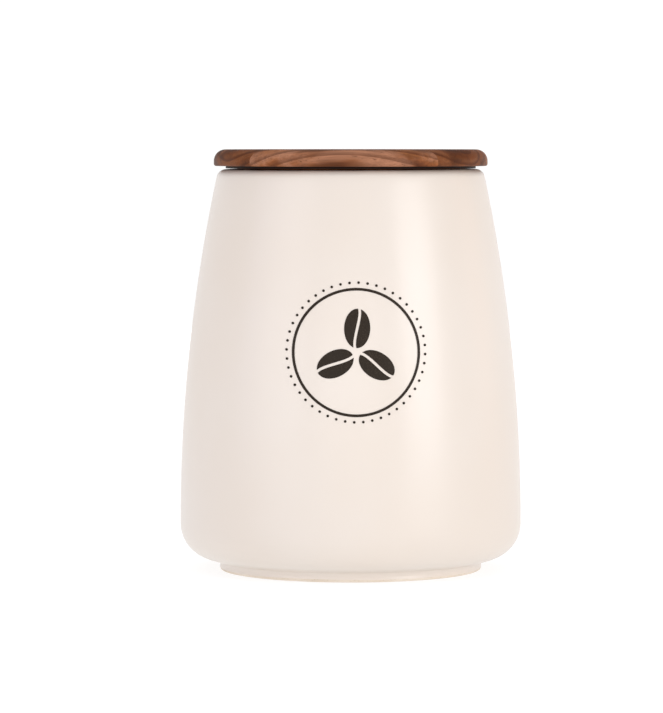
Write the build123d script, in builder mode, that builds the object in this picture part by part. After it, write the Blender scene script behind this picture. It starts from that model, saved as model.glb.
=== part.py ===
"""A round stoneware coffee canister with a turned acacia lid and a silicone seal ring.

The jar is one glazed stoneware piece on a low foot ring, with a printed transfer on its front. The
lid is a board glued up from four acacia staves and turned to a disc with a plug below it. The seal
ring sits in a groove round the plug and brushes the jar's mouth.

Units are millimetres. The origin is the centre of the foot ring's underside, +Z is up and -Y is the
front. Every section is drawn in the XZ plane, as (radius, height), and turned about Z.
"""

import os
from math import asin, degrees, sqrt

from build123d import *

# Jar
BODY_R = 65.0  # greatest radius, at the belly
BELLY_Z = 17.7  # height of the greatest radius
SIDE_ARC_R = 633.0  # the side wall is one long arc, upright at the belly
CORNER_R = 13.5  # turn from the side wall to the underside
UNDERSIDE_SLOPE = 12.0  # degrees, of the cone between that turn and the foot
WALL = 4.5
LIP_Z = 152.8  # top of the rim
LIP_OUTER_FILLET = 3.6
LIP_INNER_FILLET = 1.6
MOUTH_R = 44.5
MOUTH_STRAIGHT = 10.0  # depth of the straight mouth below the rim
MOUTH_TAPER = 12.0  # height over which the mouth runs out into the side wall
MOUTH_EASE = 12.0  # radius that softens both ends of that run-out
FLOOR_Z = 8.5  # top of the floor, inside

# Foot ring
FOOT_R = 50.0
FOOT_NECK_R = 49.5  # the foot flares a little from here, where it meets the underside
FOOT_WIDTH = 5.0
FOOT_NECK_FILLET = 2.0  # hollow between the foot and the underside
FOOT_EDGE_FILLET = 0.8
RECESS_Z = 2.5  # underside of the floor, inside the foot ring
RECESS_FILLET = 1.5

# Lid
LID_R = 52.1
LID_THICKNESS = 6.3
LID_TOP_FILLET = 4.4
LID_LOWER_FILLET = 0.8
STEP_R = 47.6  # the step under the disc, which stands on the rim
STEP_HEIGHT = 0.9
STEP_CLEARANCE = 0.2  # to the rim
PLUG_R = 41.5
PLUG_DEPTH = 8.5
PLUG_EDGE_FILLET = 0.8
GROOVE_DEPTH = 2.0
GROOVE_WIDTH = 3.0
GROOVE_DROP = 3.0  # from the lid's underside to the top of the groove
BOARD_HALF = 60.0  # half the width of the glued board that the lid is turned from
STAVE_JOINTS = {"front": -38.5, "mid_front": -6.0, "mid_back": 26.5}  # back edge of each, across the grain
GRAIN_TURN = -3.8  # degrees, from +X to the grain

# Seal ring
SEAL_CLEARANCE = 0.15  # to the groove and to the mouth
SEAL_BASE_PROUD = 0.4  # how far the seal's base stands out of its groove
FIN_THICKNESS = 0.7
FIN_RISE = 1.0  # from a fin's root to its tip
FIN_TIP_FILLET = 0.25

# Printed transfer on the front
PRINT_THICKNESS = 0.1
PRINT_Z = 86.0
PRINT_TURN = 2.0  # degrees about Z, to the right of the front
PRINT_TILT = -2.0  # degrees, clockwise as seen from the front
PRINT_R = 26.0
BEAD_COUNT = 48
BEAD_R = 0.5
RING_R = 23.6
RING_WIDTH = 1.0
BEAN_LENGTH = 14.4
BEAN_WIDTH = 9.6
BEAN_CREASE = 1.0
BEAN_COUNT = 3
BEAN_PITCH_R = 8.8  # from the emblem's centre to a bean's centre

STEP_Z = LIP_Z + STEP_CLEARANCE
LID_Z = STEP_Z + STEP_HEIGHT
LID_TOP_Z = LID_Z + LID_THICKNESS
PLUG_Z = LID_Z - PLUG_DEPTH
GROOVE_TOP_Z = LID_Z - GROOVE_DROP
GROOVE_R = PLUG_R - GROOVE_DEPTH
SIDE_ARC_CENTRE = (BODY_R - SIDE_ARC_R, BELLY_Z)
FLOOR_CORNER_R = BELLY_Z - FLOOR_Z


def side_wall_r(z, inset=0.0):
    """Radius of the side wall at height z, or of a surface that far inside it."""
    return SIDE_ARC_CENTRE[0] + sqrt((SIDE_ARC_R - inset) ** 2 - (z - BELLY_Z) ** 2)


def side_arc(z_low, z_high, inset=0.0):
    """The side wall's arc between two heights, or one concentric with it."""
    radius = SIDE_ARC_R - inset
    low = degrees(asin((z_low - BELLY_Z) / radius))
    high = degrees(asin((z_high - BELLY_Z) / radius))
    return CenterArc(SIDE_ARC_CENTRE, radius, low, high - low)


def round_corner(sketch, point, radius):
    """Fillets the corner of a section nearest to point."""
    fillet(sketch.vertices().sort_by_distance(point)[0], radius)


def make_jar():
    """The stoneware jar, one piece from foot ring to rim."""
    mouth_z = LIP_Z - MOUTH_STRAIGHT
    taper_z = mouth_z - MOUTH_TAPER
    floor_corner_centre = (BODY_R - WALL - FLOOR_CORNER_R, BELLY_Z)
    foot_inner_r = FOOT_R - FOOT_WIDTH

    with BuildPart() as jar:
        with BuildSketch(Plane.XZ) as section:
            with BuildLine():
                corner = CenterArc(
                    (BODY_R - CORNER_R, BELLY_Z), CORNER_R, UNDERSIDE_SLOPE - 90, 90 - UNDERSIDE_SLOPE
                )
                underside = PolarLine(
                    corner @ 0, (corner @ 0).X - FOOT_NECK_R, 180 + UNDERSIDE_SLOPE,
                    length_mode=LengthMode.HORIZONTAL,
                )
                side_arc(BELLY_Z, LIP_Z)
                Polyline((side_wall_r(LIP_Z), LIP_Z), (MOUTH_R, LIP_Z), (MOUTH_R, mouth_z))
                Line((MOUTH_R, mouth_z), (side_wall_r(taper_z, WALL), taper_z))
                side_arc(BELLY_Z, taper_z, WALL)
                CenterArc(floor_corner_centre, FLOOR_CORNER_R, -90, 90)
                Polyline(
                    (floor_corner_centre[0], FLOOR_Z), (0, FLOOR_Z), (0, RECESS_Z),
                    (foot_inner_r, RECESS_Z), (foot_inner_r, 0), (FOOT_R, 0), underside @ 1,
                )
            make_face()
            round_corner(section, (side_wall_r(LIP_Z), LIP_Z), LIP_OUTER_FILLET)
            round_corner(section, (MOUTH_R, LIP_Z), LIP_INNER_FILLET)
            round_corner(section, (MOUTH_R, mouth_z), MOUTH_EASE)
            round_corner(section, (side_wall_r(taper_z, WALL), taper_z), MOUTH_EASE)
            round_corner(section, underside @ 1, FOOT_NECK_FILLET)
            round_corner(section, (FOOT_R, 0), FOOT_EDGE_FILLET)
            round_corner(section, (foot_inner_r, 0), FOOT_EDGE_FILLET)
            round_corner(section, (foot_inner_r, RECESS_Z), RECESS_FILLET)
        revolve(axis=Axis.Z)
    return jar.part


def make_bean():
    """A coffee bean seen from above, its two halves parted by an S-shaped crease."""
    with BuildSketch() as bean:
        Ellipse(BEAN_LENGTH / 2, BEAN_WIDTH / 2)
        with BuildLine(mode=Mode.PRIVATE) as crease:
            Spline(
                (-BEAN_LENGTH / 2 - BEAN_CREASE, 0), (0, 0), (BEAN_LENGTH / 2 + BEAN_CREASE, 0),
                tangents=[(1, 1), (1, 1)],
            )
        trace(crease.line, BEAN_CREASE, mode=Mode.SUBTRACT)
    return bean.sketch


def make_transfer():
    """The printed emblem: beans inside a ring and a circle of beads, lying on the side wall."""
    bean = make_bean()
    front = Plane.XZ.rotated((0, 0, PRINT_TURN), ordering=Extrinsic.XYZ)
    low, high = PRINT_Z - PRINT_R, PRINT_Z + PRINT_R
    with BuildPart() as transfer:
        with BuildSketch(Plane.XZ):
            with BuildLine():
                inner = side_arc(low - 2, high + 2)
                outer = side_arc(low - 2, high + 2, -PRINT_THICKNESS)
                Line(inner @ 0, outer @ 0)
                Line(inner @ 1, outer @ 1)
            make_face()
        revolve(axis=Axis.Z)
        with BuildSketch(front):
            with Locations(Location((0, PRINT_Z), PRINT_TILT)):
                with PolarLocations(PRINT_R - BEAD_R, BEAD_COUNT):
                    Circle(BEAD_R)
                Circle(RING_R)
                Circle(RING_R - RING_WIDTH, mode=Mode.SUBTRACT)
                with PolarLocations(BEAN_PITCH_R, BEAN_COUNT, start_angle=90):
                    add(bean)
        extrude(amount=BODY_R + PRINT_R, mode=Mode.INTERSECT)
    return transfer.part


def lid_section():
    """Half of the turned lid: the disc, the low step and the plug below it, and the plug's groove."""
    with BuildSketch(Plane.XZ) as section:
        with BuildLine():
            Polyline(
                (0, LID_TOP_Z), (LID_R, LID_TOP_Z), (LID_R, LID_Z), (STEP_R, LID_Z), (STEP_R, STEP_Z),
                (PLUG_R, STEP_Z), (PLUG_R, GROOVE_TOP_Z), (GROOVE_R, GROOVE_TOP_Z),
                (GROOVE_R, GROOVE_TOP_Z - GROOVE_WIDTH), (PLUG_R, GROOVE_TOP_Z - GROOVE_WIDTH),
                (PLUG_R, PLUG_Z), (0, PLUG_Z), close=True,
            )
        make_face()
        round_corner(section, (LID_R, LID_TOP_Z), LID_TOP_FILLET)
        round_corner(section, (LID_R, LID_Z), LID_LOWER_FILLET)
        round_corner(section, (PLUG_R, PLUG_Z), PLUG_EDGE_FILLET)
    return section.sketch


def make_stave(near, far):
    """The strip of the turned lid between two glue joints, measured across the grain."""
    with BuildPart() as stave:
        add(lid_section())
        revolve(axis=Axis.Z)
        with BuildSketch(Plane.XY.offset(PLUG_Z)):
            with Locations(Location((0, 0), GRAIN_TURN)):
                with Locations((0, (near + far) / 2)):
                    Rectangle(2 * BOARD_HALF, far - near)
        extrude(amount=LID_TOP_Z - PLUG_Z, mode=Mode.INTERSECT)
    return stave.part


def make_seal():
    """The silicone ring: a square base in the lid's groove, and two thin fins that rise outwards."""
    low = GROOVE_TOP_Z - GROOVE_WIDTH + SEAL_CLEARANCE
    high = GROOVE_TOP_Z - SEAL_CLEARANCE
    base_r = PLUG_R + SEAL_BASE_PROUD
    tip_r = MOUTH_R - SEAL_CLEARANCE
    with BuildPart() as seal:
        with BuildSketch(Plane.XZ) as section:
            with BuildLine():
                Polyline(
                    (GROOVE_R + SEAL_CLEARANCE, low), (base_r, low),
                    (tip_r, low + FIN_RISE), (tip_r, low + FIN_RISE + FIN_THICKNESS),
                    (base_r, low + FIN_THICKNESS), (base_r, high - FIN_THICKNESS),
                    (tip_r, high + FIN_RISE - FIN_THICKNESS), (tip_r, high + FIN_RISE),
                    (base_r, high), (GROOVE_R + SEAL_CLEARANCE, high), close=True,
                )
            make_face()
            tips = section.vertices().group_by(Axis.X)[-1]
            fillet(tips, FIN_TIP_FILLET)
        revolve(axis=Axis.Z)
    return seal.part


def save(part, name):
    """Labels a finished piece and writes it as its own STEP file."""
    part.label = name
    export_step(part, f"parts/{name}.step")


os.makedirs("parts", exist_ok=True)
save(make_jar(), "jar_body")
save(make_transfer(), "front_transfer")
near = -BOARD_HALF
for place, far in {**STAVE_JOINTS, "back": BOARD_HALF}.items():
    save(make_stave(near, far), f"lid_stave_{place}")
    near = far
save(make_seal(), "seal_ring")
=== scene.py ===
"""The looks of a round stoneware canister with a turned acacia lid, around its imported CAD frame.

The origin is the centre of the foot ring's underside, +Z is up and -Y is the front. The jar is turned again
here as a finer mesh, with the edge of its glaze modelled above the bare foot. The lid's staves, the seal
ring and the printed transfer are the CAD's own solids, with their materials made here.
"""

import math

import bmesh
import bpy
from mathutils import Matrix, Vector


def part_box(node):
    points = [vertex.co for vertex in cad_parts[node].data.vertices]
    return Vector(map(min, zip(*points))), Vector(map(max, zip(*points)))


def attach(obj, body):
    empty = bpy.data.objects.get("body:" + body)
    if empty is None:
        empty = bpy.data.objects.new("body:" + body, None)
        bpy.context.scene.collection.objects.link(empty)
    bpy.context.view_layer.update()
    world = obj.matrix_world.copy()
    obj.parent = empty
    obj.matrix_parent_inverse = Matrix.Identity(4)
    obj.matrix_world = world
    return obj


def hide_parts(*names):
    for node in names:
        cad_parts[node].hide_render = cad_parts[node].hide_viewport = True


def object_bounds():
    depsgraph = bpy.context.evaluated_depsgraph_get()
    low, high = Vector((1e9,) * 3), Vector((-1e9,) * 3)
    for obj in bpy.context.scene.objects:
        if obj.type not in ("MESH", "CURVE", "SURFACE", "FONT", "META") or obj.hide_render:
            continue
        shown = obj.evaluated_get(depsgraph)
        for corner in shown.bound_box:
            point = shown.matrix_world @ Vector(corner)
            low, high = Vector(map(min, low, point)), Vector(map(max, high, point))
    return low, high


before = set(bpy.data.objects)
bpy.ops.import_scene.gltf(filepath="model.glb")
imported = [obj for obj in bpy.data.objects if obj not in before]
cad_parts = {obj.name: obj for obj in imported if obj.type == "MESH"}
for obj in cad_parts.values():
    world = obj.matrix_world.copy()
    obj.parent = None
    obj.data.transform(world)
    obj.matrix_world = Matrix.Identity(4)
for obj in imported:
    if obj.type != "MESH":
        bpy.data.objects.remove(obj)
cad_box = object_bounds()

MM = 0.001
WHITE = (1.0, 1.0, 1.0)

# ------------------------------------------------------------------ camera

SENSOR = 36.0
FOCAL = 198.631  # a long lens, in millimetres as the sensor
CAMERA_AT = Vector((0.0, -1.5, 0.163))
CAMERA_AIM = Vector((-0.0073, 0.0, 0.0812))


def make_camera():
    """The photographer's camera: far off, level with the lid, looking slightly down."""
    lens = bpy.data.cameras.new("camera")
    lens.sensor_width = SENSOR
    lens.lens = FOCAL
    camera = bpy.data.objects.new("camera", lens)
    bpy.context.scene.collection.objects.link(camera)
    camera.location = CAMERA_AT
    camera.rotation_euler = (CAMERA_AIM - CAMERA_AT).to_track_quat("-Z", "Y").to_euler()
    bpy.context.scene.camera = camera


# ------------------------------------------------------------------ node trees


class Graph:
    """A node tree, with a short call for each kind of node that it uses."""

    def __init__(self, tree):
        self.tree = tree

    def node(self, kind, inputs=None, **settings):
        """Adds a node, sets its properties, and sets or links its inputs."""
        made = self.tree.nodes.new(kind)
        for name, value in settings.items():
            setattr(made, name, value)
        for name, value in (inputs or {}).items():
            self.put(made.inputs[name], value)
        return made

    def put(self, socket, value):
        """Links a socket to another, or sets its constant."""
        if isinstance(value, bpy.types.NodeSocket):
            self.tree.links.new(value, socket)
        elif socket.type == "RGBA":
            socket.default_value = (*value, 1.0)
        else:
            socket.default_value = value

    def here(self):
        """The piece's own coordinates, in metres."""
        return self.node("ShaderNodeTexCoord").outputs["Object"]

    def shift(self, vector, by):
        """The sum of two vectors."""
        return self.node("ShaderNodeVectorMath", {0: vector, 1: by}, operation="ADD").outputs[0]

    def stretch(self, vector, by):
        """The vector, scaled along each axis."""
        return self.node("ShaderNodeVectorMath", {0: vector, 1: by}, operation="MULTIPLY").outputs[0]

    def turn(self, vector, angle):
        """The vector, turned about Z."""
        inputs = {"Vector": vector, "Angle": angle}
        return self.node("ShaderNodeVectorRotate", inputs, rotation_type="Z_AXIS").outputs[0]

    def length(self, vector):
        return self.node("ShaderNodeVectorMath", {0: vector}, operation="LENGTH").outputs["Value"]

    def split(self, vector):
        """The vector's parts, under X, Y and Z."""
        return self.node("ShaderNodeSeparateXYZ", {"Vector": vector}).outputs

    def join(self, x, y, z):
        return self.node("ShaderNodeCombineXYZ", {"X": x, "Y": y, "Z": z}).outputs[0]

    def math(self, operation, a, b=0.0):
        return self.node("ShaderNodeMath", {0: a, 1: b}, operation=operation).outputs[0]

    def remap(self, value, low, high, to_low=0.0, to_high=1.0):
        """Maps low..high smoothly to to_low..to_high, and holds the value beyond both ends."""
        inputs = {"Value": value, "From Min": low, "From Max": high, "To Min": to_low, "To Max": to_high}
        return self.node("ShaderNodeMapRange", inputs, interpolation_type="SMOOTHSTEP").outputs["Result"]

    def noise(self, vector, scale, detail=2.0, roughness=0.5, output="Fac"):
        """Soft noise round 0.5, with that many lumps to a unit of the vector."""
        inputs = {"Vector": vector, "Scale": scale, "Detail": detail, "Roughness": roughness}
        return self.node("ShaderNodeTexNoise", inputs).outputs[output]

    def mix(self, share, a, b, blend="MIX"):
        """Colour a with that share of colour b laid over it."""
        made = self.node("ShaderNodeMix", data_type="RGBA", blend_type=blend)
        self.put(made.inputs["Factor"], share)
        # Several of this node's sockets are named A, B and Result. These are the ones for colours.
        self.put(made.inputs[6], a)
        self.put(made.inputs[7], b)
        return made.outputs[2]

    def bump(self, height, depth, before=None):
        """Relief of that depth in metres, where height runs from 0 to 1."""
        inputs = {"Height": height, "Distance": depth, "Strength": 1.0}
        if before is not None:
            inputs["Normal"] = before
        return self.node("ShaderNodeBump", inputs).outputs["Normal"]


def new_material(name, constants):
    """A Principled material with those constants on the shader's own sockets, its graph and its shader."""
    material = bpy.data.materials.new(name)
    material.use_nodes = True
    graph = Graph(material.node_tree)
    shader = material.node_tree.nodes["Principled BSDF"]
    for socket, value in constants.items():
        graph.put(shader.inputs[socket], value)
    return material, graph, shader


# ------------------------------------------------------------------ jar

# Its section, in millimetres, as in the CAD
BODY_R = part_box("jar_body")[1].x / MM
LIP_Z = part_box("jar_body")[1].z / MM
BELLY_Z = 17.7
SIDE_ARC_R = 633.0
CORNER_R = 13.5
UNDERSIDE_SLOPE = math.radians(12.0)
WALL = 4.5
LIP_OUTER_FILLET = 3.6
LIP_INNER_FILLET = 1.6
MOUTH_R = 44.5
MOUTH_STRAIGHT = 10.0
MOUTH_TAPER = 12.0
MOUTH_EASE = 12.0
FLOOR_Z = 8.5
FOOT_R = 50.0
FOOT_NECK_R = 49.5
FOOT_WIDTH = 5.0
FOOT_NECK_FILLET = 2.0
FOOT_EDGE_FILLET = 0.8
RECESS_Z = 2.5
RECESS_FILLET = 1.5

# What firing leaves, in millimetres
GLAZE_DEPTH = 0.16  # how far the glaze stands off the bare clay of the foot
GLAZE_STOP = 1.0  # height of the glaze's edge on both sides of the foot
GLAZE_WANDER = 0.14  # how far that edge strays up and down
GLAZE_WAVES = ((0.6, 3, 1.0), (0.4, 7, 2.2))  # share, number round the foot and phase of each wave in it
GLAZE_BEAD = 0.07  # radius of that edge
LIP_WARP = 0.14  # the rim dips from level, by up to 2.5 times this
LIP_LOBES = 0.5  # share of the warp that has two lobes
WARP_AT = math.radians(-115.0)  # where it dips most, at the front and a little to the left

# Fineness of the turned mesh
AROUND = 288
ARC_STEP = math.radians(8.0)
SIDE_STEP = 5.0
DISC_RINGS = 5


def side_r(z, inset=0.0):
    """Radius of the side wall at height z, or of a surface that far inside it."""
    return BODY_R - SIDE_ARC_R + math.sqrt((SIDE_ARC_R - inset) ** 2 - (z - BELLY_Z) ** 2)


def side(z_from, z_to, inset=0.0):
    """Points of the side wall's long arc, as (radius, height)."""
    steps = math.ceil(abs(z_to - z_from) / SIDE_STEP)
    heights = [z_from + (z_to - z_from) * i / steps for i in range(steps + 1)]
    return [(side_r(z, inset), z) for z in heights]


def arc(centre, radius, start, end):
    """Points of an arc between two angles."""
    steps = max(3, math.ceil(abs(end - start) / ARC_STEP))
    angles = [start + (end - start) * i / steps for i in range(steps + 1)]
    return [(centre[0] + radius * math.cos(a), centre[1] + radius * math.sin(a)) for a in angles]


def rounded(before, corner, after, radius):
    """Points of the fillet that rounds a corner between two neighbouring points."""
    corner = Vector(corner)
    back = (Vector(before) - corner).normalized()
    ahead = (Vector(after) - corner).normalized()
    half = back.angle(ahead) / 2
    centre = corner + (back + ahead).normalized() * radius / math.sin(half)
    first = corner + back * radius / math.tan(half) - centre
    last = corner + ahead * radius / math.tan(half) - centre
    start = math.atan2(first.y, first.x)
    return arc(centre, radius, start, start - first.angle_signed(last))


def outline(points):
    """The outline through points of (radius, height) or (radius, height, fillet)."""
    made = []
    for i, point in enumerate(points):
        if len(point) == 3:
            made += rounded(points[i - 1][:2], point[:2], points[i + 1][:2], point[2])
        else:
            made.append(point)
    return made


def jar_section(lip_z, glaze_stop):
    """The jar's section at one angle, from the middle of its underside to the middle of its floor."""
    corner_centre = (BODY_R - CORNER_R, BELLY_Z)
    corner = arc(corner_centre, CORNER_R, UNDERSIDE_SLOPE - math.pi / 2, 0)
    neck_z = corner[0][1] - (corner[0][0] - FOOT_NECK_R) * math.tan(UNDERSIDE_SLOPE)
    inner_r = FOOT_R - FOOT_WIDTH
    clay_out, clay_in = FOOT_R - GLAZE_DEPTH, inner_r + GLAZE_DEPTH
    mouth_z = LIP_Z - MOUTH_STRAIGHT
    taper_z = mouth_z - MOUTH_TAPER
    floor_r = BELLY_Z - FLOOR_Z
    floor_centre = (BODY_R - WALL - floor_r, BELLY_Z)
    recess = [(inner_r * i / DISC_RINGS, RECESS_Z) for i in range(DISC_RINGS)]
    foot = [
        (inner_r, RECESS_Z, RECESS_FILLET),
        (inner_r, glaze_stop, GLAZE_BEAD), (clay_in, glaze_stop, GLAZE_BEAD),
        (clay_in, 0, FOOT_EDGE_FILLET), (clay_out, 0, FOOT_EDGE_FILLET),
        (clay_out, glaze_stop, GLAZE_BEAD), (FOOT_R, glaze_stop, GLAZE_BEAD),
        (FOOT_NECK_R, neck_z, FOOT_NECK_FILLET),
    ]
    outside = corner + side(BELLY_Z, LIP_Z - SIDE_STEP)[1:]
    lip = [
        (side_r(LIP_Z), lip_z, LIP_OUTER_FILLET), (MOUTH_R, lip_z, LIP_INNER_FILLET),
        (MOUTH_R, mouth_z, MOUTH_EASE), (side_r(taper_z, WALL), taper_z, MOUTH_EASE),
    ]
    inside = side(taper_z - SIDE_STEP, BELLY_Z, WALL)
    floor_corner = arc(floor_centre, floor_r, 0, -math.pi / 2)[1:]
    floor = [(floor_centre[0] * (1 - i / DISC_RINGS), FLOOR_Z) for i in range(1, DISC_RINGS + 1)]
    return outline(recess + foot + outside + lip + inside + floor_corner + floor)


def turned_mesh(name, section_at, around):
    """A closed mesh of revolution from the section at each angle, both of whose ends lie on the axis."""
    mesh = bmesh.new()
    angles = [2 * math.pi * i / around for i in range(around)]
    sections = [section_at(angle) for angle in angles]
    first = mesh.verts.new((0, 0, sections[0][0][1] * MM))
    last = mesh.verts.new((0, 0, sections[0][-1][1] * MM))
    rings = []
    for angle, section in zip(angles, sections):
        points = [(r * math.cos(angle), r * math.sin(angle), z) for r, z in section[1:-1]]
        rings.append([mesh.verts.new(Vector(point) * MM) for point in points])
    for i, ring in enumerate(rings):
        beside = rings[(i + 1) % around]
        mesh.faces.new((first, beside[0], ring[0]))
        mesh.faces.new((last, ring[-1], beside[-1]))
        for j in range(len(ring) - 1):
            mesh.faces.new((ring[j], beside[j], beside[j + 1], ring[j + 1]))
    bmesh.ops.recalc_face_normals(mesh, faces=mesh.faces)
    data = bpy.data.meshes.new(name)
    mesh.to_mesh(data)
    mesh.free()
    data.shade_smooth()
    piece = bpy.data.objects.new(name, data)
    bpy.context.scene.collection.objects.link(piece)
    return piece


def make_jar():
    """The jar: rim a little out of level, and a glaze edge that wanders round the foot."""
    def section_at(angle):
        turn = angle - WARP_AT
        dip = LIP_WARP * (1 + math.cos(turn) + LIP_LOBES * math.cos(2 * turn))
        wander = sum(share * math.sin(count * angle + phase) for share, count, phase in GLAZE_WAVES)
        return jar_section(LIP_Z - dip, GLAZE_STOP + GLAZE_WANDER * wander)

    jar = turned_mesh("jar_glazed", section_at, AROUND)
    jar.data.materials.append(glaze_material())
    jar.data.materials.append(clay_material())
    highest_bare = (GLAZE_STOP + GLAZE_WANDER) * MM
    for face in jar.data.polygons:
        centre = face.center
        reach = math.hypot(centre.x, centre.y) / MM
        on_clay = FOOT_R - FOOT_WIDTH + GLAZE_DEPTH / 2 < reach < FOOT_R - GLAZE_DEPTH / 2
        face.material_index = int(on_clay and centre.z < highest_bare)
    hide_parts("jar_body")
    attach(jar, "jar")


# ------------------------------------------------------------------ glaze and clay

GLAZE_CREAM = (0.688, 0.621, 0.563)
GLAZE_WARM = (0.681, 0.606, 0.540)
GLAZE_THIN = (0.600, 0.470, 0.350)
RIM_FADE = 1.4  # the glaze thins towards the rim over this height, in millimetres
RIPPLE_DEPTH = 0.08  # relief of the glaze's slow ripple, in millimetres
PEEL_DEPTH = 0.003  # and of its fine one
CLAY = (0.66, 0.57, 0.47)
CLAY_PALE = (0.72, 0.64, 0.55)
CLAY_SAND = (0.46, 0.37, 0.28)
SAND_DEPTH = 0.05  # relief of the bare clay, in millimetres


def glaze_material():
    """Satin cream glaze: cloudy by a shade, thinner and browner on the rim's edge, faintly rippled."""
    material, g, shader = new_material("cream_glaze", {"IOR": 1.5})
    here = g.here()
    clouds = g.noise(here, 16.0, detail=3.0)
    mottle = g.noise(here, 260.0, detail=2.0)
    colour = g.mix(g.remap(clouds, 0.3, 0.7), GLAZE_CREAM, GLAZE_WARM)
    rim = g.remap(g.split(here)["Z"], (LIP_Z - RIM_FADE) * MM, LIP_Z * MM)
    thin = g.math("MULTIPLY", rim, g.remap(mottle, 0.35, 0.65, 0.10, 0.30))
    g.put(shader.inputs["Base Color"], g.mix(thin, colour, GLAZE_THIN))
    g.put(shader.inputs["Roughness"], g.remap(clouds, 0.3, 0.7, 0.28, 0.32))
    ripple = g.bump(g.noise(here, 38.0, detail=1.0), RIPPLE_DEPTH * MM)
    peel = g.bump(g.noise(here, 700.0, detail=1.0), PEEL_DEPTH * MM, ripple)
    g.put(shader.inputs["Normal"], peel)
    return material


def clay_material():
    """Bare stoneware, wiped clean of glaze where the foot stands in the kiln."""
    material, g, shader = new_material("bare_stoneware", {"IOR": 1.45})
    here = g.here()
    sand = g.noise(here, 2200.0, detail=3.0, roughness=0.7)
    clouds = g.noise(here, 60.0)
    colour = g.mix(g.remap(clouds, 0.3, 0.7), CLAY, CLAY_PALE)
    g.put(shader.inputs["Base Color"], g.mix(g.remap(sand, 0.55, 0.72), colour, CLAY_SAND))
    g.put(shader.inputs["Roughness"], g.remap(sand, 0.3, 0.7, 0.82, 0.95))
    g.put(shader.inputs["Normal"], g.bump(sand, SAND_DEPTH * MM))
    return material


# ------------------------------------------------------------------ transfer

INK = (0.016, 0.009, 0.004)
INK_THIN = (0.040, 0.027, 0.017)
MESH_DEPTH = 0.01  # relief that the screen's mesh leaves in the ink, in millimetres


def ink_material():
    """Ceramic ink fired onto the glaze: brown-black, with the faint mesh of its screen."""
    material, g, shader = new_material("print_ink", {"IOR": 1.5, "Specular IOR Level": 0.2})
    here = g.here()
    screen = g.noise(here, 2600.0, detail=1.0)
    cover = g.noise(here, 120.0, detail=3.0)
    share = g.math("MULTIPLY", g.remap(screen, 0.45, 0.7), g.remap(cover, 0.35, 0.7, 0.15, 0.8))
    g.put(shader.inputs["Base Color"], g.mix(share, INK, INK_THIN))
    g.put(shader.inputs["Roughness"], g.remap(cover, 0.3, 0.7, 0.40, 0.52))
    g.put(shader.inputs["Normal"], g.bump(screen, MESH_DEPTH * MM))
    return material


# ------------------------------------------------------------------ lid

GRAIN_TURN = math.radians(-3.8)  # from +X to the grain, as in the CAD
LID_MID_Z = (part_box("lid_stave_mid_back")[1].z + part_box("lid_stave_mid_back")[0].z) / 2  # in metres
STEP_CLEARANCE = 0.2  # from the rim to the low step under the disc, in millimetres
STEP_HEIGHT = 0.9
STEP_Z = LIP_Z + STEP_CLEARANCE  # underside of the step
LID_Z = STEP_Z + STEP_HEIGHT  # underside of the disc
PAINTED_SHADE_EDGE = 0.08  # the step's side is painted dark as shade under the overhanging disc, and the painted shade fades this close to its edges

# For each stave: the pith's place across and above the lid's middle, in millimetres, and what it is like.
# shift moves its figure along the grain, in metres; warm and dark are shares of the pinkish and of the
# dark wood; tone is how light the whole stave is.
STAVES = {
    "lid_stave_front": {"pith": (-8.0, 46.0), "shift": 0.317, "warm": 0.95, "dark": 0.75, "tone": 0.95},
    "lid_stave_mid_front": {"pith": (-26.0, 38.0), "shift": 1.74, "warm": 0.10, "dark": 0.65, "tone": 0.70},
    "lid_stave_mid_back": {"pith": (22.0, 58.0), "shift": 3.12, "warm": 0.55, "dark": 0.62, "tone": 0.92},
    "lid_stave_back": {"pith": (30.0, 34.0), "shift": 4.65, "warm": 0.10, "dark": 0.45, "tone": 0.85},
}
WOOD_LIGHT = (0.300, 0.110, 0.040)
WOOD_PINK = (0.370, 0.165, 0.092)
WOOD_ORANGE = (0.185, 0.046, 0.010)
WOOD_DARK = (0.060, 0.015, 0.005)
WOOD_PORE = (0.040, 0.013, 0.006)
# colour of the painted shade on the side of the step under the disc
WOOD_PAINTED_SHADE = (0.012, 0.004, 0.002)
RING_WIDTH = 4.2  # a year's growth, in millimetres
RING_STRAY = 7.0  # how far the rings stray from circles, in millimetres
LATE_SHARE = 0.55  # how much darker the late wood of each ring is

# How many lumps of each figure there are in a metre along, across and above the grain
STRAY_GRAIN = (5, 22, 22)
STREAK_GRAIN = (14, 170, 170)
PATCH_GRAIN = (20, 75, 75)
FIBRE_GRAIN = (60, 1500, 1500)
PORE_GRAIN = (170, 2600, 2600)

# Relief of the wood's surface, in millimetres
FIBRE_DEPTH = 0.03
PORE_DEPTH = 0.06


def ring_count(g, board, pith):
    """How many growth rings lie between the pith and each point of the board."""
    across, up = pith
    from_pith = g.stretch(g.shift(board, (0, -across * MM, -up * MM)), (0, 1, 1))
    wander = g.noise(g.stretch(board, STRAY_GRAIN), 1.0, output="Color")
    reach = 2 * RING_STRAY * MM
    stray = g.stretch(g.shift(wander, (-0.5, -0.5, -0.5)), (0, reach, reach))
    return g.math("DIVIDE", g.length(g.shift(from_pith, stray)), RING_WIDTH * MM)


def painted_shade_band(g):
    """Painted shade: 1 on the side of the low step, which lies in shadow under the disc, and 0 above and
    below it.
    """
    height = g.split(g.here())["Z"]
    above_foot = g.remap(height, STEP_Z * MM, (STEP_Z + PAINTED_SHADE_EDGE) * MM)
    below_disc = g.remap(height, (LID_Z - PAINTED_SHADE_EDGE) * MM, LID_Z * MM, 1.0, 0.0)
    return g.math("MULTIPLY", above_foot, below_disc)


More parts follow.
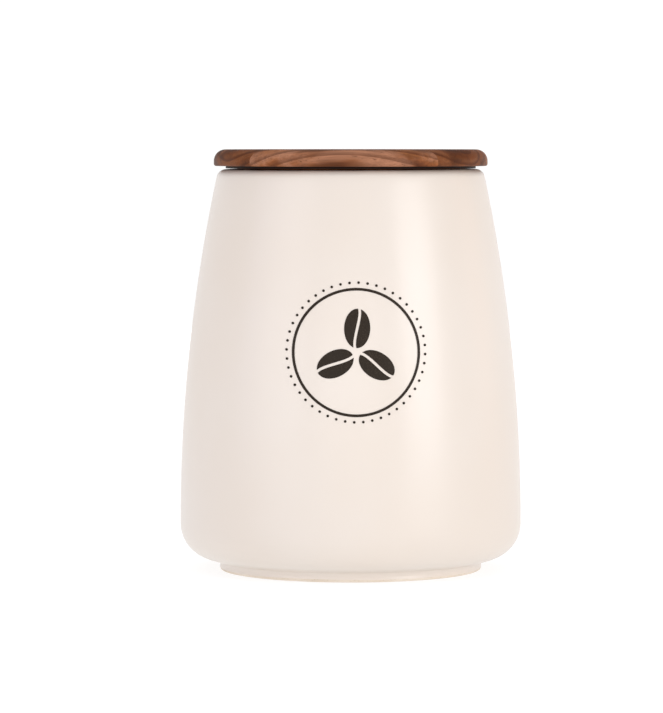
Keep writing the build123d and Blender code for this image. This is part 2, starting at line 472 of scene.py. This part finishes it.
def acacia_material(name, pith, shift, warm, dark, tone):
    """Oiled acacia, as a solid figure: growth rings round a pith that runs along the grain, with painted
    shade on the step under the disc.
    """
    material, g, shader = new_material(name, {"IOR": 1.48, "Specular IOR Level": 0.10})
    board = g.turn(g.shift(g.here(), (0, 0, -LID_MID_Z)), -GRAIN_TURN)
    board = g.shift(board, (shift, 0, 0))

    rings = ring_count(g, board, pith)
    season = g.math("FRACT", rings)
    late = g.math("MULTIPLY", g.remap(season, 0.45, 0.92), g.remap(season, 0.94, 1.0, 1.0, 0.0))
    year_at = g.join(g.math("MULTIPLY", rings, 0.42), shift, 0.0)
    year = g.noise(year_at, 1.0, detail=3.0, roughness=0.65)
    fibre = g.noise(g.stretch(board, FIBRE_GRAIN), 1.0, detail=3.0, roughness=0.6)
    streak = g.noise(g.stretch(board, STREAK_GRAIN), 1.0, detail=3.0, roughness=0.55)
    patch = g.noise(g.stretch(board, PATCH_GRAIN), 1.0, detail=3.0)
    pores = g.noise(g.stretch(board, PORE_GRAIN), 1.0, detail=1.0)

    colour = g.mix(g.remap(year, 0.36, 0.64), WOOD_ORANGE, WOOD_LIGHT)
    pink = g.remap(g.math("ADD", streak, patch), 0.92, 1.16)
    colour = g.mix(g.math("MULTIPLY", pink, warm), colour, WOOD_PINK)

    shade = g.math("ADD", g.math("MULTIPLY", year, 0.5), g.math("SUBTRACT", 1.0, patch))
    shade = g.math("ADD", shade, g.math("MULTIPLY", streak, 0.35))
    deep = g.remap(shade, 0.86, 1.08)
    colour = g.mix(g.math("MULTIPLY", deep, dark), colour, WOOD_DARK)
    colour = g.mix(g.math("MULTIPLY", late, LATE_SHARE), colour, WOOD_DARK)

    grain = g.remap(fibre, 0.25, 0.75, 0.80 * tone, 1.16 * tone)
    colour = g.mix(1.0, colour, g.join(grain, grain, grain), "MULTIPLY")
    pore = g.math("MULTIPLY", g.remap(pores, 0.66, 0.72), g.remap(season, 0.0, 0.5, 1.0, 0.45))
    colour = g.mix(g.math("MULTIPLY", pore, 0.75), colour, WOOD_PORE)
    # painted shade: the step's side under the overhanging disc is darkened to near black
    colour = g.mix(painted_shade_band(g), colour, WOOD_PAINTED_SHADE)

    g.put(shader.inputs["Base Color"], colour)
    g.put(shader.inputs["Roughness"], g.remap(g.math("ADD", fibre, pore), 0.3, 1.3, 0.46, 0.68))
    raised = g.bump(fibre, FIBRE_DEPTH * MM)
    sunk = g.bump(g.math("SUBTRACT", 1.0, pore), PORE_DEPTH * MM, raised)
    g.put(shader.inputs["Normal"], sunk)
    return material


# ------------------------------------------------------------------ seal

SILICONE = (0.78, 0.775, 0.75)
SILICONE_DUSTY = (0.70, 0.69, 0.66)
SKIN_DEPTH = 0.01  # relief of the moulded surface, in millimetres


def silicone_material():
    """Milky silicone rubber with a faint bloom of dust and handling."""
    constants = {
        "IOR": 1.41, "Subsurface Weight": 0.35, "Subsurface Radius": (1.0, 0.9, 0.8),
        "Subsurface Scale": 1.5 * MM,
    }
    material, g, shader = new_material("silicone", constants)
    here = g.here()
    bloom = g.noise(here, 180.0, detail=3.0)
    g.put(shader.inputs["Base Color"], g.mix(g.remap(bloom, 0.35, 0.7), SILICONE, SILICONE_DUSTY))
    g.put(shader.inputs["Roughness"], g.remap(bloom, 0.3, 0.7, 0.42, 0.58))
    g.put(shader.inputs["Normal"], g.bump(g.noise(here, 1400.0), SKIN_DEPTH * MM))
    return material


# ------------------------------------------------------------------ studio

FLOOR_HALF = 40.0  # half the table's side, in metres
FLOOR_WHITE = (0.32, 0.32, 0.32)
FLOOR_GLOW = 0.76  # the table is lit from below, so the object hardly shadows it
BACKDROP = 1.04  # strength of the lit backdrop, a band all round the horizon
WALLS = 0.36  # of the room above it
CEILING = 1.30  # and of the light tent overhead
BACKDROP_TOP = (0.12, 0.26)  # sines of the elevations where one becomes the next
CEILING_EDGE = (0.55, 0.92)

# Place, size across and up, glow (its radiance) and colour of each softbox, all aimed at the object's
# middle. The back one evens out the far side, and doesn't show in the glaze.
SOFTBOXES = {
    "right": {"at": (1.05, -0.85, 0.35), "size": (0.68, 0.68), "glow": 4.45, "colour": (0.98, 0.97, 0.99)},
    "left": {"at": (-1.05, -0.90, 0.42), "size": (0.9, 0.8), "glow": 1.8, "colour": (0.96, 0.94, 1.0)},
    "side": {"at": (-1.32, -0.35, 0.42), "size": (0.25, 0.8), "glow": 1.4, "colour": (0.64, 0.68, 1.0)},
    "rear": {"at": (1.30, 0.40, 0.42), "size": (0.5, 0.8), "glow": 0.5, "colour": (1.0, 0.38, 0.10)},
    "front": {"at": (0.0, -1.9, 0.36), "size": (1.6, 0.3), "glow": 3.1, "colour": (1.0, 0.99, 0.98)},
    "back": {"at": (0.0, 1.9, 0.35), "size": (1.8, 0.6), "glow": 2.6, "colour": (1.0, 0.98, 0.96)},
}


def make_floor():
    """A white light table, far wider than the picture."""
    data = bpy.data.meshes.new("floor")
    corners = [(-1, -1), (1, -1), (1, 1), (-1, 1)]
    data.from_pydata([(x * FLOOR_HALF, y * FLOOR_HALF, 0.0) for x, y in corners], [], [(0, 1, 2, 3)])
    floor = bpy.data.objects.new("floor", data)
    bpy.context.scene.collection.objects.link(floor)
    constants = {
        "Base Color": FLOOR_WHITE, "Roughness": 0.9, "Specular IOR Level": 0.0,
        "Emission Color": WHITE, "Emission Strength": FLOOR_GLOW,
    }
    data.materials.append(new_material("floor_white", constants)[0])


def make_sky():
    """A white tent: a lit backdrop round the horizon, dimmer walls above it, and a bright ceiling."""
    world = bpy.data.worlds.new("studio")
    bpy.context.scene.world = world
    world.use_nodes = True
    g = Graph(world.node_tree)
    direction = g.node("ShaderNodeTexCoord").outputs["Generated"]
    height = g.split(direction)["Z"]
    round_about = g.remap(height, *BACKDROP_TOP, BACKDROP, WALLS)
    overhead = g.remap(height, *CEILING_EDGE, 0.0, CEILING - WALLS)
    background = world.node_tree.nodes["Background"]
    g.put(background.inputs["Color"], WHITE)
    g.put(background.inputs["Strength"], g.math("ADD", round_about, overhead))


def make_softboxes():
    """The softboxes, which light the object but stay out of the picture."""
    middle = Vector((0.0, 0.0, cad_box[1].z / 2))
    for name, box in SOFTBOXES.items():
        data = bpy.data.lights.new(f"softbox_{name}", "AREA")
        data.shape = "RECTANGLE"
        data.size, data.size_y = box["size"]
        data.color = box["colour"]
        data.energy = box["glow"] * math.pi * data.size * data.size_y
        light = bpy.data.objects.new(f"softbox_{name}", data)
        bpy.context.scene.collection.objects.link(light)
        light.location = box["at"]
        light.rotation_euler = (middle - light.location).to_track_quat("-Z", "Y").to_euler()
        light.visible_camera = False
        light.visible_glossy = name != "back"


# ------------------------------------------------------------------ the whole


def finish_node(node, material):
    """Gives every material slot of a CAD node that material."""
    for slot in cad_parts[node].material_slots:
        slot.material = material


make_camera()
make_jar()
finish_node("front_transfer", ink_material())
finish_node("seal_ring", silicone_material())
for stave, figure in STAVES.items():
    finish_node(stave, acacia_material(stave, **figure))
make_floor()
make_sky()
make_softboxes()
bpy.context.scene.view_settings.view_transform = "Standard"
